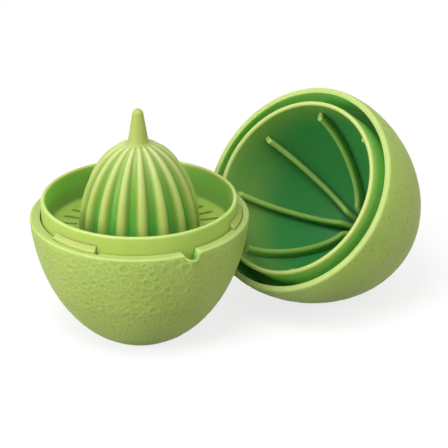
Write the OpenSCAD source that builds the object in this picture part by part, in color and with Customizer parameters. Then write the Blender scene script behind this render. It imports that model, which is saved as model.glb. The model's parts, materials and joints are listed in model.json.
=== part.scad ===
// Lime-shaped citrus juicer: juice bowl, strainer with fluted reamer, and a lid with a finned press cup.
// Millimetres, +Z up, origin at the middle of the foot. The lid lies open on the table against the bowl.

/* [Fruit shape] */
// outer radius of the rim where the two halves of the fruit meet
rim_r = 45; // [42:0.5:48]
// height of the bowl from the table to its rim
bowl_h = 53; // [50:0.5:60]
// radius of the flat foot
foot_r = 16; // [14:0.5:20]
// how far the widest girdle of the fruit lies above the rim
girdle = 7; // [4:0.5:9]
// depth of the lid from its rim to its closed end
lid_depth = 71; // [68:0.5:80]
// roundness of the lid's outline, 2 is an ellipse and less is more pointed
lid_round = 1.8; // [1.7:0.05:2]

/* [Bowl] */
// wall of the bowl
bowl_wall = 2.2; // [1.8:0.1:2.6]
// thickness of the bowl's floor
bowl_floor = 2.6; // [2.2:0.1:4]
// width of the flat land on top of the rim
rim_land = 4.3; // [3.8:0.1:4.8]
// rounding of the outer edge of every rim
rim_edge = 0.8; // [0.4:0.1:1.2]

/* [Spout] */
// direction of the pouring spout
spout_az = -60; // [-80:1:-40]
// radius of the spout's beak at the rim
spout_r = 3.6; // [3:0.1:4.2]
// how far the beak stands out from the rim
spout_reach = 1.8; // [1:0.1:2.4]
// height of the beak on the wall
spout_h = 9.5; // [8:0.5:13]
// radius of the juice channel behind the beak at the rim
channel_r = 3.4; // [2.4:0.1:3.6]
// how far the channel's middle leans out from the bore at the rim
channel_out = 1.3; // [0.8:0.1:1.4]
// height of the juice channel
channel_h = 12; // [8:0.5:15]
// depth of the pouring notch below the rim
notch_depth = 2.2; // [1.6:0.1:3]
// radius of the pouring notch
notch_r = 4.2; // [3.8:0.1:5]

/* [Strainer] */
// play between the collar and the bowl's bore
collar_play = 0.5; // [0.4:0.1:0.9]
// wall of the collar
collar_wall = 1.65; // [1.4:0.05:2]
// height of the collar above the rim
collar_up = 7.5; // [5:0.5:10]
// depth of the strainer floor below the rim
floor_down = 6.4; // [4:0.2:9]
// thickness of the strainer floor
floor_wall = 1.8; // [1.4:0.1:2.4]
// number of juice slots
slots = 30; // [20:1:32]
// width of a juice slot
slot_w = 2; // [1.2:0.1:2.4]
// length of a juice slot
slot_len = 8; // [5:0.5:8.5]
// gap between the reamer's ribs and the slots
slot_start = 1.2; // [1:0.1:2]
// turn of the ring of slots
slot_turn = 4.2; // [0:0.1:12]
// number of ears that carry the strainer on the rim
ears = 3; // [3:1:4]
// angle covered by one ear
ear_span = 30; // [20:1:36]
// middle of the first ear
ear_az = -128; // [-150:1:-110]
// width of an ear that bears on the rim
ear_hold = 1.5; // [1.1:0.1:1.7]
// height of an ear above the rim
ear_up = 2.5; // [1.5:0.1:4]
// depth of the recess in the rim that keeps an ear from turning
ear_down = 1.2; // [0.8:0.1:2]
// play of an ear in its recess
ear_play = 0.3; // [0.3:0.05:0.6]
// slope on the upper edge of an ear
ear_slope = 1.6; // [0.4:0.1:1.8]
// length that a recess runs on past its ear
ear_room = 2; // [0:0.2:4]

/* [Reamer] */
// radius over the ribs at the foot of the reamer
reamer_r = 24.8; // [22:0.2:26]
// height of the fluted dome above the strainer floor
dome_h = 38.5; // [36:0.5:42]
// fullness of the dome's outline, 2 is an ellipse and more is fuller
dome_full = 2; // [1.9:0.1:2.4]
// number of ribs
ribs = 16; // [12:1:16]
// turn of the ring of ribs
rib_turn = 5.4; // [0:0.1:22]
// height of a rib above the valleys at the foot
rib_d = 3.2; // [2:0.1:3.6]
// share of the pitch that a rib covers
rib_share = 0.58; // [0.45:0.01:0.7]
// wall under the valleys
reamer_wall = 1.8; // [1.4:0.1:2.4]
// radius of the flat shoulder under the spike
shoulder_r = 6.4; // [5.5:0.1:7]
// radius of the spike at its foot
spike_r = 4.4; // [3.4:0.1:4.8]
// radius of the spike's round tip
spike_tip = 2.3; // [1.8:0.1:2.6]
// height of the spike's tip above the strainer floor
spike_top = 52.4; // [50:0.2:54]

/* [Lid] */
// wall of the lid shell
lid_wall = 2.4; // [2:0.1:2.5]
// play between the ears and the lid's lip when it is closed
lip_play = 0.4; // [0.3:0.05:0.6]
// width of the ledge inside the shell that the press cup sits on
ledge_w = 1.6; // [1.2:0.1:2.4]
// thickness of the ledge
ledge_t = 2; // [1.5:0.1:3]
// tilt of the lying lid from mouth up
lid_tilt = 53.2; // [46:0.2:60]
// direction that the lid's mouth faces
lid_az = -133.8; // [-150:0.2:-120]
// direction from the bowl to the lid
lean_az = 17.5; // [5:0.5:35]
// gap between the lid and the bowl that it lies against
lean_gap = 0.8; // [0.4:0.1:3]

/* [Press cup] */
// play between the cup's ring and the collar when it is closed
ring_play = 0.35; // [0.3:0.05:0.6]
// wall of the press cup
cup_wall = 1.8; // [1.5:0.1:2.2]
// how far the ring stands out of the lid
ring_proud = 2.1; // [1:0.1:3]
// depth of the straight part of the cup below the lid's rim
cup_straight = 6; // [3:0.5:8]
// depth of the cup below the lid's rim
cup_depth = 56; // [54:0.5:58]
// roundness of the cup's outline
cup_round = 1.7; // [1.6:0.05:1.9]
// depth of the groove between ring and shell
groove = 16; // [12:0.5:20]
// thickness of the flange that closes the groove
flange_t = 1.8; // [1.4:0.1:2.4]
// play between the flange and the shell
flange_play = 0.35; // [0.3:0.05:0.5]
// number of fins in the cup
fins = 8; // [5:1:8]
// thickness of a fin
fin_t = 2.2; // [1.4:0.1:2.4]
// height of a fin at the mouth
fin_h = 3.7; // [2.5:0.1:5]
// depth of the fins' ends below the lid's rim
fin_s = 7.5; // [6.5:0.1:9]
// depth where the fins' inner edge stops falling before it turns to the cup's bottom
fin_flat = 46.6; // [44:0.2:48]
// roundness of the fins' inner edge
fin_round = 1.56; // [1.5:0.02:1.7]
// radius of the free space in the middle that the spike enters
fin_free = 4.2; // [4:0.1:5]
// width of the rounding where a fin turns to the cup's bottom
fin_bend = 3.4; // [2:0.1:5]
// turn of the fins
fin_turn = 17; // [0:0.2:44]

/* [Hidden] */
steps = 22;
half_turn = 90;
edge_step = 30;
over = 1;
// the bowl's wall is a half ellipse that runs through the rim and the foot
girdle_z = bowl_h + girdle;
foot_share = pow(foot_r / rim_r, 2);
bowl_b = sqrt((pow(girdle_z, 2) - foot_share * pow(girdle, 2)) / (1 - foot_share));
bowl_gr = rim_r / sqrt(1 - pow(girdle / bowl_b, 2));
bowl_t0 = asin((girdle + rim_edge) / bowl_b);
bowl_t1 = asin(girdle_z / bowl_b);
// the bore, the collar, the ring and the ears follow from the rim
bore_r = rim_r - rim_land;
collar_r = bore_r - collar_play;
collar_in = collar_r - collar_wall;
ring_r = collar_in - ring_play;
ring_in = ring_r - cup_wall;
ear_r = bore_r + ear_hold;
ear_seat = ear_r + ear_play;
lip_in = ear_r + lip_play;
// the inside of the bowl is the same ellipse, one wall smaller, up to the bore
cav_r = bowl_gr - bowl_wall;
cav_b = bowl_b - bowl_wall;
cav_t0 = acos(min(1, bore_r / cav_r));
cav_t1 = asin((girdle_z - bowl_floor) / cav_b);
// the juice channel's tip lies just inside the bore
channel_foot = 0.5;
channel_lean = atan((channel_out + channel_foot) / channel_h);
// levels of the strainer
floor_z = bowl_h - floor_down;
collar_z = bowl_h + collar_up;
// play of an ear in its recess, as an angle
ear_slack = ear_play / ear_r * 180 / PI;
ear_past = ear_room / ear_r * 180 / PI;
// the reamer's hollow, one wall inside the valleys
hollow_r = reamer_r - rib_d - reamer_wall;
hollow_h = dome_h - reamer_wall - over;
dome_t1 = acos(shoulder_r / reamer_r);
shoulder_h = dome_h * pow(sin(dome_t1), 2 / dome_full);
rib_points = 3;
rib_pitch = 360 / ribs;
ring_points = ribs * (2 * rib_points + 2);
dome_steps = 13;
hollow_steps = 7;
hollow_t1 = 84;
rib_fade = 0.8;
spike_end = 0.6;
fin_steps = 6;
// the lid's outline
lid_b = lid_depth - girdle;
lid_gr = rim_r / pow(1 - pow(girdle / lid_b, lid_round), 1 / lid_round);
shell_r = lid_gr - (rim_r - lip_in);
shell_b = lid_b - lid_wall;
ledge_s = groove + flange_t;
flange_r = shell_at(ledge_s) - flange_play;
ledge_r = flange_r - ledge_w;
cup_b = cup_depth - cup_straight;
fin_r = ring_in - fin_h;
fin_mid = fin_free + fin_bend;
lid_z = max([for (p = lid_line()) p[0] * sin(lid_tilt) - p[1] * cos(lid_tilt)]);
lean = max([for (p = lid_line(), a = [0:5:355]) lean_for(lid_turn(p, a))]);

// radius of the bowl's outside at a height
function bowl_at(z) = bowl_gr * sqrt(max(0, 1 - pow((girdle_z - z) / bowl_b, 2)));

// radius of the shell's inside at a depth
function shell_at(s) = shell_r * pow(max(0, 1 - pow(abs(s - girdle) / shell_b, lid_round)), 1 / lid_round);

// quarter round from the outer side to the top of an edge
function round_edge(x, z, e, from, to) =
    [for (a = [from:(to > from ? edge_step : -edge_step):to]) [x + e * cos(a), z + e * sin(a)]];

// half of a rounded outline, from its widest point at angle from to its closed end at angle to
function bulb(r, b, z, e, from, to, n) =
    [for (i = [0:n]) let (t = from + (to - from) * i / n) [r * pow(cos(t), 2 / e), z - b * pow(sin(t), 2 / e)]];

// the lid's outside from its rim to its closed end, mouth up with the rim at zero
function lid_line() = concat(
    [for (i = [0:3]) let (s = rim_edge + (girdle - rim_edge) * i / 4)
        [lid_gr * pow(1 - pow((girdle - s) / lid_b, lid_round), 1 / lid_round), -s]],
    bulb(lid_gr, lid_b, -girdle, lid_round, 0, half_turn, steps));

// a point of the lid's outline, turned about the lid's axis and laid down, seen from the lid's middle
function lid_turn(p, a) = let (
    x = p[0] * cos(a) * cos(lid_tilt) + p[1] * sin(lid_tilt),
    y = p[0] * sin(a),
    z = lid_z - p[0] * cos(a) * sin(lid_tilt) + p[1] * cos(lid_tilt)
) [x * cos(lid_az) - y * sin(lid_az), x * sin(lid_az) + y * cos(lid_az), z];

// how far out the lid has to lie for this point to clear the bowl and the collar
function lean_for(q) = let (
    wall = (q[2] <= bowl_h ? bowl_at(max(0, q[2])) : q[2] <= collar_z ? ear_r : 0) + lean_gap,
    along = q[0] * cos(lean_az) + q[1] * sin(lean_az),
    room = pow(along, 2) - pow(q[0], 2) - pow(q[1], 2) + pow(wall, 2)
) wall > lean_gap && room > 0 ? -along + sqrt(room) : 0;

module in_lid() {
    translate([lean * cos(lean_az), lean * sin(lean_az), lid_z])
        rotate([0, lid_tilt, lid_az])
            children();
}

// Bowl: the lower half of the fruit, with foot, bore, spout and three recesses for the ears
module bowl_outside() {
    rotate_extrude()
        polygon(concat(
            [[0, 0]],
            [for (i = [steps:-1:0]) let (t = bowl_t0 + (bowl_t1 - bowl_t0) * i / steps)
                [bowl_gr * cos(t), girdle_z - bowl_b * sin(t)]],
            round_edge(rim_r - rim_edge, bowl_h - rim_edge, rim_edge, edge_step, half_turn),
            [[0, bowl_h]]));
}

module bowl_inside() {
    rotate_extrude()
        polygon(concat(
            [[0, bowl_floor]],
            [for (i = [steps:-1:0]) let (t = cav_t0 + (cav_t1 - cav_t0) * i / steps)
                [cav_r * cos(t), girdle_z - cav_b * sin(t)]],
            [[bore_r, bowl_h + over], [0, bowl_h + over]]));
}

module spout_beak() {
    rotate([0, 0, spout_az])
        translate([rim_r + spout_reach - spout_r, 0, bowl_h - spout_h])
            cylinder(h = spout_h, r1 = 0, r2 = spout_r, $fn = 96);
}

// the channel starts low in the bore and leans out to the beak
module spout_channel() {
    rotate([0, 0, spout_az])
        translate([bore_r - channel_foot, 0, bowl_h - channel_h])
            rotate([0, channel_lean, 0])
                cylinder(h = (channel_h + over) / cos(channel_lean), r1 = 0,
                    r2 = channel_r * (channel_h + over) / channel_h, $fn = 96);
}

module spout_notch() {
    rotate([0, 0, spout_az])
        translate([bore_r - over, 0, bowl_h - notch_depth + notch_r])
            rotate([0, half_turn, 0])
                cylinder(h = rim_land + spout_reach + 2 * over, r = notch_r, $fn = 96);
}

module ear_recess(k) {
    rotate([0, 0, ear_az + 360 / ears * k - ear_span / 2 - ear_slack])
        rotate_extrude(angle = ear_span + 2 * ear_slack + ear_past)
            translate([bore_r - over, bowl_h - ear_down])
                square([ear_seat - bore_r + over, ear_down + over]);
}

module bowl() {
    color("YellowGreen")
        difference() {
            union() {
                bowl_outside();
                spout_beak();
            }
            bowl_inside();
            spout_channel();
            spout_notch();
            for (k = [0:ears - 1])
                ear_recess(k);
        }
}

// Strainer: a collar with a slotted floor, carried by ears on the bowl's rim
module strainer_ring() {
    rotate_extrude()
        polygon(concat(
            [[hollow_r, floor_z - floor_wall], [collar_r, floor_z - floor_wall]],
            round_edge(collar_r - collar_wall / 2, collar_z - collar_wall / 2, collar_wall / 2, 0, 180),
            [[collar_in, floor_z], [hollow_r, floor_z]]));
}

module ear(k) {
    rotate([0, 0, ear_az + 360 / ears * k - ear_span / 2])
        rotate_extrude(angle = ear_span)
            polygon([
                [collar_r - collar_wall / 2, bowl_h - ear_down], [ear_r, bowl_h - ear_down],
                [ear_r, bowl_h + ear_up - ear_slope], [ear_r - ear_slope, bowl_h + ear_up],
                [collar_r - collar_wall / 2, bowl_h + ear_up]]);
}

module slot_ring() {
    start = reamer_r + slot_start + slot_w / 2;
    translate([0, 0, floor_z - floor_wall - over])
        linear_extrude(height = floor_wall + 2 * over)
            for (k = [0:slots - 1])
                rotate(slot_turn + 360 / slots * k) {
                    translate([start, -slot_w / 2])
                        square([slot_len - slot_w, slot_w]);
                    translate([start, 0])
                        circle(d = slot_w, $fn = 48);
                    translate([start + slot_len - slot_w, 0])
                        circle(d = slot_w, $fn = 48);
                }
}

module strainer() {
    color("OliveDrab")
        difference() {
            union() {
                strainer_ring();
                for (k = [0:ears - 1])
                    ear(k);
            }
            slot_ring();
        }
}

// Reamer: a hollow dome whose round ribs run up to a flat shoulder, with a blunt spike on top
function rib_turns() = [for (k = [0:ribs - 1], i = [-rib_points:rib_points + 1])
    rib_turn + rib_pitch * (k + (i > rib_points ? 1 / 2 : rib_share / 2 * sin(half_turn * i / rib_points)))];

function rib_heights() = [for (k = [0:ribs - 1], i = [-rib_points:rib_points + 1])
    i > rib_points ? 0 : cos(half_turn * i / rib_points)];

// ring of points on the fluted dome, t runs from the foot at zero to the top at a right angle
function dome_ring(t, turns, heights) = let (
    crest = reamer_r * cos(t),
    depth = rib_d * pow(cos(t), rib_fade),
    z = dome_h * pow(sin(t), 2 / dome_full)
) [for (j = [0:ring_points - 1]) let (r = crest - depth * (1 - heights[j]))
    [r * cos(turns[j]), r * sin(turns[j]), z]];

function round_ring(p, turns) = [for (a = turns) [p[0] * cos(a), p[0] * sin(a), p[1]]];

// the skin runs from the top of the hollow down to the foot, up over the ribs and the shoulder to the tip
module reamer() {
    turns = rib_turns();
    heights = rib_heights();
    hollow = [for (i = [hollow_steps:-1:0]) let (t = hollow_t1 * i / hollow_steps)
        [hollow_r * cos(t), hollow_h * pow(sin(t), 2 / dome_full)]];
    tip = concat([[spike_r, shoulder_h]],
        round_edge(0, spike_top - spike_tip, spike_tip, 0, 2 * edge_step), [[spike_end, spike_top]]);
    rings = concat(
        [for (p = hollow) round_ring(p, turns)],
        [for (i = [0:dome_steps]) dome_ring(dome_t1 * i / dome_steps, turns, heights)],
        [for (p = tip) round_ring(p, turns)]);
    last = len(rings) - 1;
    sides = [for (i = [0:last - 1], j = [0:ring_points - 1]) let (
            a = i * ring_points + j,
            b = i * ring_points + (j + 1) % ring_points,
            fluted = i > hollow_steps && i <= hollow_steps + dome_steps
        ) each fluted ? [[a, a + ring_points, b + ring_points], [a, b + ring_points, b]]
            : [[a, a + ring_points, b + ring_points, b]]];
    inner_end = [for (j = [0:ring_points - 1]) j];
    outer_end = [for (j = [ring_points - 1:-1:0]) last * ring_points + j];
    color("LimeGreen")
        translate([0, 0, floor_z])
            polyhedron(points = [for (ring = rings) each ring], faces = concat(sides, [inner_end, outer_end]));
}

// Lid shell: the upper half of the fruit, with a ledge inside for the press cup
module lid_shell() {
    color("YellowGreen")
        in_lid()
            rotate_extrude()
                polygon(concat(
                    [[lip_in, 0]],
                    round_edge(rim_r - rim_edge, -rim_edge, rim_edge, half_turn, edge_step),
                    lid_line(),
                    [for (i = [steps:-1:0]) let (t = ledge_angle() + (half_turn - ledge_angle()) * i / steps)
                        [shell_r * pow(cos(t), 2 / lid_round), -girdle - shell_b * pow(sin(t), 2 / lid_round)]],
                    [[ledge_r, -ledge_s - ledge_t], [ledge_r, -ledge_s]],
                    [for (i = [4:-1:1]) let (s = ledge_s * i / 4) [shell_at(s), -s]]));
}

// angle on the shell's inner outline where the ledge ends
function ledge_angle() = asin(pow((ledge_s + ledge_t - girdle) / shell_b, lid_round / 2));

// Press cup: a ring that enters the collar, a flange that seats on the ledge, and fins round a free middle
function cup_angle(s, b) = asin(pow(max(0, s - cup_straight) / b, cup_round / 2));

// depth of the cup's inside at a radius
function cup_at(r) = cup_straight + cup_b * pow(1 - pow(r / ring_in, cup_round), 1 / cup_round);

module cup_wall_ring() {
    back = cup_angle(ledge_s, cup_b + cup_wall);
    rotate_extrude()
        polygon(concat(
            round_edge(ring_in + cup_wall / 2, ring_proud - cup_wall / 2, cup_wall / 2, 180, 0),
            [[ring_r, -groove], [flange_r, -groove], [flange_r, -ledge_s]],
            bulb(ring_r, cup_b + cup_wall, -cup_straight, cup_round, back, half_turn, steps),
            bulb(ring_in, cup_b, -cup_straight, cup_round, half_turn, 0, steps)));
}

// a fin's inner edge falls from the mouth to its flat part, then rounds down to the cup's bottom
module fin() {
    wall = cup_wall / 2;
    fall = [for (i = [0:steps]) let (t = half_turn * i / steps)
        [fin_mid + (fin_r - fin_mid) * pow(cos(t), 2 / fin_round),
            -fin_s - (fin_flat - fin_s) * pow(sin(t), 2 / fin_round)]];
    bend = [for (i = [1:fin_steps]) let (t = half_turn * i / fin_steps)
        [fin_mid - fin_bend * sin(t), -fin_flat - (cup_at(fin_free) - fin_flat) * (1 - cos(t))]];
    root_end = acos(pow(fin_free / (ring_in + wall), cup_round / 2));
    root = bulb(ring_in + wall, cup_b + wall, -cup_straight, cup_round,
        root_end, cup_angle(fin_s, cup_b + wall), steps);
    rotate([half_turn, 0, 0])
        linear_extrude(height = fin_t, center = true)
            polygon(concat(fall, bend, root));
}

module press_cup() {
    color("ForestGreen")
        in_lid() {
            cup_wall_ring();
            for (k = [0:fins - 1])
                rotate([0, 0, fin_turn + 360 / fins * k])
                    fin();
        }
}

bowl();
strainer();
reamer();
lid_shell();
press_cup();
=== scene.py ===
"""Dresses the lime-shaped citrus juicer: pebbled rind, slotted strainer, fluted reamer and finned press cup.

Every piece is a surface worked out with numpy in millimetres, from the same sizes as the part's source, and
put into its mesh in metres.
"""

import json
import math

import bpy
import numpy as np
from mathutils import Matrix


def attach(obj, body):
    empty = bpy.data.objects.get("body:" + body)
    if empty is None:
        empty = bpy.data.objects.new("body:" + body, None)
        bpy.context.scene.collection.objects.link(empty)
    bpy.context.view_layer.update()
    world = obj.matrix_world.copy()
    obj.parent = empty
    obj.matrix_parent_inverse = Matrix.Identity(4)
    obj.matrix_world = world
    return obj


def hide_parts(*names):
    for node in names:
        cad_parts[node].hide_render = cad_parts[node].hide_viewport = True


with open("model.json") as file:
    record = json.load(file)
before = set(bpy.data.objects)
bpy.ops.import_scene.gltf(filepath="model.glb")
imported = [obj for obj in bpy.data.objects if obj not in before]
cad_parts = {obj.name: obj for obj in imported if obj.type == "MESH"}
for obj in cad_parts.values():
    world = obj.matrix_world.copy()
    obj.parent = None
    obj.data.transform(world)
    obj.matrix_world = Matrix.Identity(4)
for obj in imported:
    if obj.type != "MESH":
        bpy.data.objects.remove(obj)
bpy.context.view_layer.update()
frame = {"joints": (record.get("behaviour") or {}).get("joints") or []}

MM = 0.001
TURN = 2 * math.pi
QUARTER = math.pi / 2

# Fruit and bowl
RIM_R = 45.0
RIM_EDGE = 0.8
BOWL_H = 53.0
FOOT_R = 16.0
GIRDLE = 7.0
GIRDLE_Z = BOWL_H + GIRDLE
FOOT_SHARE = (FOOT_R / RIM_R) ** 2
BOWL_B = math.sqrt((GIRDLE_Z ** 2 - FOOT_SHARE * GIRDLE ** 2) / (1 - FOOT_SHARE))
BOWL_GR = RIM_R / math.sqrt(1 - (GIRDLE / BOWL_B) ** 2)
BOWL_WALL = 2.2
BOWL_FLOOR = 2.6
BORE_R = 40.7
CAVITY_R = BOWL_GR - BOWL_WALL
CAVITY_B = BOWL_B - BOWL_WALL
SEAM_Z = 24.0

# Pouring notch, the beak under it and the channel behind it
SPOUT_AZ = math.radians(-60)
SPOUT_R = 3.6
SPOUT_AXIS = 43.2
SPOUT_H = 9.5
BEAK = (SPOUT_AXIS, SPOUT_R, SPOUT_H)
BEAK_CREASE = 0.4
CHANNEL_R = 3.4
CHANNEL_H = 12.0
CHANNEL_OUT = 1.3
CHANNEL_FOOT = 0.5
NOTCH_DEPTH = 2.2
NOTCH_R = 4.2

# Ears of the strainer, which lie in recesses of the bowl's rim
EARS = 3
EAR_PITCH = TURN / EARS
EAR_AZ = math.radians(-128)
EAR_SPAN = math.radians(30)
EAR_R = 42.2
EAR_UP = 2.5
EAR_DOWN = 1.2
EAR_SLOPE = 1.6
EAR_SOFT = 0.3
EAR_SUNK = 0.9
EAR_SHRINK = 0.13
EAR_END = 0.4 / EAR_R
EAR_SLACK = 0.3 / EAR_R
EAR_PAST = 2.0 / EAR_R

# Strainer
COLLAR_R = 40.2
COLLAR_IN = 38.55
COLLAR_Z = 60.5
COLLAR_FOOT = 0.5
COLLAR_FILLET = 0.8
FLOOR_Z = 46.6
FLOOR_WALL = 1.8
UNDER_Z = FLOOR_Z - FLOOR_WALL
SLOTS = 30
SLOT_PITCH = TURN / SLOTS
SLOT_W = 2.0
SLOT_IN = 26.0
SLOT_OUT = 34.0
SLOT_EDGE = 0.16
SLOT_TURN = math.radians(4.2)
SLOTTED_IN = SLOT_IN - 0.55
SLOTTED_OUT = SLOT_OUT + 0.6

# Reamer and the hollow under it
REAMER_R = 24.8
DOME_H = 38.5
DOME_FULL = 2.0
HOLLOW_R = 19.8
HOLLOW_H = 35.7
RIBS = 16
RIB_TURN = math.radians(5.4)
RIB_D = 3.2
RIB_SHARE = 0.58
RIB_SOFT = 0.07
RIB_FADE = 0.8
SHOULDER_R = 6.4
SHOULDER_PULL = 1.9
SPIKE_R = 4.4
SPIKE_TIP = 2.3
SPIKE_TOP = 52.4
SPIKE_FOOT = 1.9
SPIKE_PULL = 1.1

# Lid, measured down from its rim, whose middle is where the frame has the lid's joint
LID_DEPTH = 71.0
LID_ROUND = 1.8
LID_WALL = 2.4
LIP_IN = 42.6
LIP_EDGE = 0.4
LID_B = LID_DEPTH - GIRDLE
LID_GR = RIM_R / (1 - (GIRDLE / LID_B) ** LID_ROUND) ** (1 / LID_ROUND)
SHELL_R = LID_GR - (RIM_R - LIP_IN)
SHELL_B = LID_B - LID_WALL
LEDGE_S = 17.8
LEDGE_T = 2.0
LEDGE_W = 1.6
FLANGE_PLAY = 0.35
LID_TILT = math.radians(53.2)
LID_AZ = math.radians(-133.8)
LID_CENTRE = np.array(next(j["pos_m"] for j in frame["joints"] if j["name"] == "lid_twist")) / MM

# Press cup and its fins, measured the same way
GROOVE = 16.0
RING_R = 38.2
RING_IN = 36.4
RING_PROUD = 2.1
CUP_STRAIGHT = 6.0
CUP_DEPTH = 56.0
CUP_ROUND = 1.7
CUP_WALL = 1.8
CUP_B = CUP_DEPTH - CUP_STRAIGHT
FINS = 8
FIN_T = 2.2
FIN_R = 32.7
FIN_S = 7.5
FIN_TURN = math.radians(17)
FIN_FLAT = 46.6
FIN_ROUND = 1.56
FIN_FREE = 4.2
FIN_BEND = 3.4
FIN_EASE = 0.45
FIN_MOUTH_ROWS = 6

# Meshes: what counts as one point or no length, and the angle from which an edge stays sharp
SAME = 1e-6
TINY = 1e-9
WELD_DIGITS = 4
SHARP = math.radians(42)


# Grids and meshes

def line(start, end, count):
    """Straight run of count points from start to end."""
    share = np.linspace(0, 1, count)[:, None]
    return np.array(start) * (1 - share) + np.array(end) * share


def arc(centre, radius, start, end, count):
    """Circular run about centre, from the start angle to the end angle in degrees."""
    a = np.radians(np.linspace(start, end, count))
    return np.stack([centre[0] + radius * np.cos(a), centre[1] + radius * np.sin(a)], -1)


def bulb(radius, depth, top, power, start, end, count):
    """Half of a superellipse of power p: radius times cos to the power 2/p, and top minus depth times sin
    to the power 2/p."""
    t = np.linspace(start, end, count)
    return np.stack([radius * np.maximum(np.cos(t), 0) ** (2 / power),
                     top - depth * np.maximum(np.sin(t), 0) ** (2 / power)], -1)


def chain(*runs):
    """Joins runs into one profile and drops a point that repeats the one before it."""
    joined = np.concatenate(runs)
    step = np.linalg.norm(np.diff(joined, axis=0), axis=1)
    return joined[np.concatenate([[True], step > SAME])]


def even(count, start=0.0):
    """Angles of count columns, evenly spread over a full turn."""
    return start + np.arange(count) * TURN / count


def revolve(profile, turns):
    """Carries a profile of radius and height round the Z axis through the given angles."""
    r, z = profile[:, 0, None], profile[:, 1, None]
    return np.stack([r * np.cos(turns), r * np.sin(turns), z + 0 * turns], -1)


def spin(points, turn):
    """Turns a grid about the Z axis."""
    c, s = math.cos(turn), math.sin(turn)
    return points @ np.array([[c, s, 0], [-s, c, 0], [0, 0, 1]])


def lay_down(points):
    """Tilts a grid made about the lid's own axis, turns it to where the mouth faces and moves it to the
    lid."""
    c, s = math.cos(LID_TILT), math.sin(LID_TILT)
    return spin(points @ np.array([[c, 0, -s], [0, 1, 0], [s, 0, c]]), LID_AZ) + LID_CENTRE


def ramp(x, low, high):
    """Smooth step from 0 at low to 1 at high."""
    s = np.clip((x - low) / (high - low), 0, 1)
    return s * s * (3 - 2 * s)


def skin(points, painted_shade=0.0, lip=0.0, painted_glow_and_shade=0.0, close_rows=False, close_cols=True):
    """Corners, quads and marks of one grid. The marks are painted: painted shade that darkens hollows,
    painted highlight that pales edges, crests, rims and some shaded walls, and a painted green that stands
    for light coming through thin walls and, on the reamer, for the shade in its valleys."""
    rows, cols = points.shape[:2]
    i = np.arange(rows if close_rows else rows - 1)[:, None]
    j = np.arange(cols if close_cols else cols - 1)[None, :]
    up, on = (i + 1) % rows, (j + 1) % cols
    quads = np.stack([i * cols + j, i * cols + on, up * cols + on, up * cols + j], -1).reshape(-1, 4)
    marks = [np.broadcast_to(m, (rows, cols)).reshape(-1) for m in (painted_shade, lip, painted_glow_and_shade)]
    return points.reshape(-1, 3), quads, np.stack(marks, -1)


def piece(name, body, node, finish, skins):
    """Welds grids into one closed mesh. A quad at a pole has two equal corners and becomes a triangle."""
    corners = np.concatenate([s[0] for s in skins])
    first = np.cumsum([0] + [len(s[0]) for s in skins[:-1]])
    quads = np.concatenate([s[1] + f for s, f in zip(skins, first)])
    marks = np.concatenate([s[2] for s in skins])
    welded = np.round(corners, WELD_DIGITS)
    _, keep, back = np.unique(welded, axis=0, return_index=True, return_inverse=True)
    quads = back.reshape(-1)[quads]
    same = quads == np.roll(quads, -1, axis=1)
    whole = quads[~same.any(axis=1)]
    at_pole = same.sum(axis=1) == 1
    skip = np.argmax(same[at_pole], axis=1)[:, None]
    triangles = np.take_along_axis(quads[at_pole], (skip + np.array([[1, 2, 3]])) % 4, axis=1)
    mesh = bpy.data.meshes.new(name)
    mesh.from_pydata((corners[keep] * MM).tolist(), [], whole.tolist() + triangles.tolist())
    # the painted shade, painted light and painted green go into the mesh as attributes
    for mark, values in zip(("painted_shade", "lip", "painted_glow_and_shade"), marks[keep].T.astype(np.float32)):
        mesh.attributes.new(mark, "FLOAT", "POINT").data.foreach_set("value", values)
    mesh.shade_smooth()
    mesh.set_sharp_from_angle(angle=SHARP)
    mesh.materials.append(finish)
    obj = bpy.data.objects.new(name, mesh)
    bpy.context.scene.collection.objects.link(obj)
    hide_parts(node)
    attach(obj, body)


# Finishes

CLOUD = {"Scale": 38.0, "Detail": 3.0, "Roughness": 0.55}
CLOUD_RANGE = {"From Min": 0.7, "From Max": 1.3}
GRAIN = {"Detail": 2.0, "Roughness": 0.6}
GRAIN_STRENGTH = 0.6
GLOSS = {"Scale": 140.0, "Detail": 2.0, "Roughness": 0.5}
GLOSS_SPREAD = 0.07
GLOW_SHARE = 0.6
GLOW_RADIUS = (0.7, 1.0, 0.5)

# fresh and shade are tones that vary at random; edge is the pale tint of the painted light, hollow the tint
# of the painted shade, and the greens are painted glow of light through thin plastic and painted light on the
# strainer's floor, except the reamer's darker green, which is painted shade in its valleys
PAINTED_GLOW_GREEN = (0.25, 0.63, 0.155)
RIND = dict(fresh=(0.355, 0.445, 0.11), shade=(0.28, 0.365, 0.078), edge=(0.42, 0.515, 0.24), painted_glow_and_shade=PAINTED_GLOW_GREEN,
            hollow=(0.08, 0.44, 0.10), grain_size=1500.0, grain_depth=0.0002, rough=0.55, shine=0.2)
INNER = dict(fresh=(0.335, 0.41, 0.085), shade=(0.305, 0.38, 0.077), edge=(0.46, 0.52, 0.23), painted_glow_and_shade=PAINTED_GLOW_GREEN,
             grain_size=2600.0, grain_depth=0.00003, rough=0.48, shine=0.28)
BASKET = dict(INNER, painted_glow_and_shade=(0.42, 0.62, 0.09))
REAMER = dict(INNER, fresh=(0.305, 0.37, 0.075), shade=(0.285, 0.35, 0.07), edge=(0.46, 0.51, 0.25),
              painted_glow_and_shade=(0.075, 0.26, 0.014))


def feed(tree, socket, value):
    """Sets a socket to a constant, or joins it to the output that feeds it."""
    if isinstance(value, bpy.types.NodeSocket):
        tree.links.new(value, socket)
    else:
        socket.default_value = value


def add(tree, kind, sockets=None, **settings):
    """The outputs of a new node, with its settings and what its sockets are fed."""
    node = tree.nodes.new(kind)
    for key, value in settings.items():
        setattr(node, key, value)
    for key, value in (sockets or {}).items():
        feed(tree, node.inputs[key], value)
    return node.outputs


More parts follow.
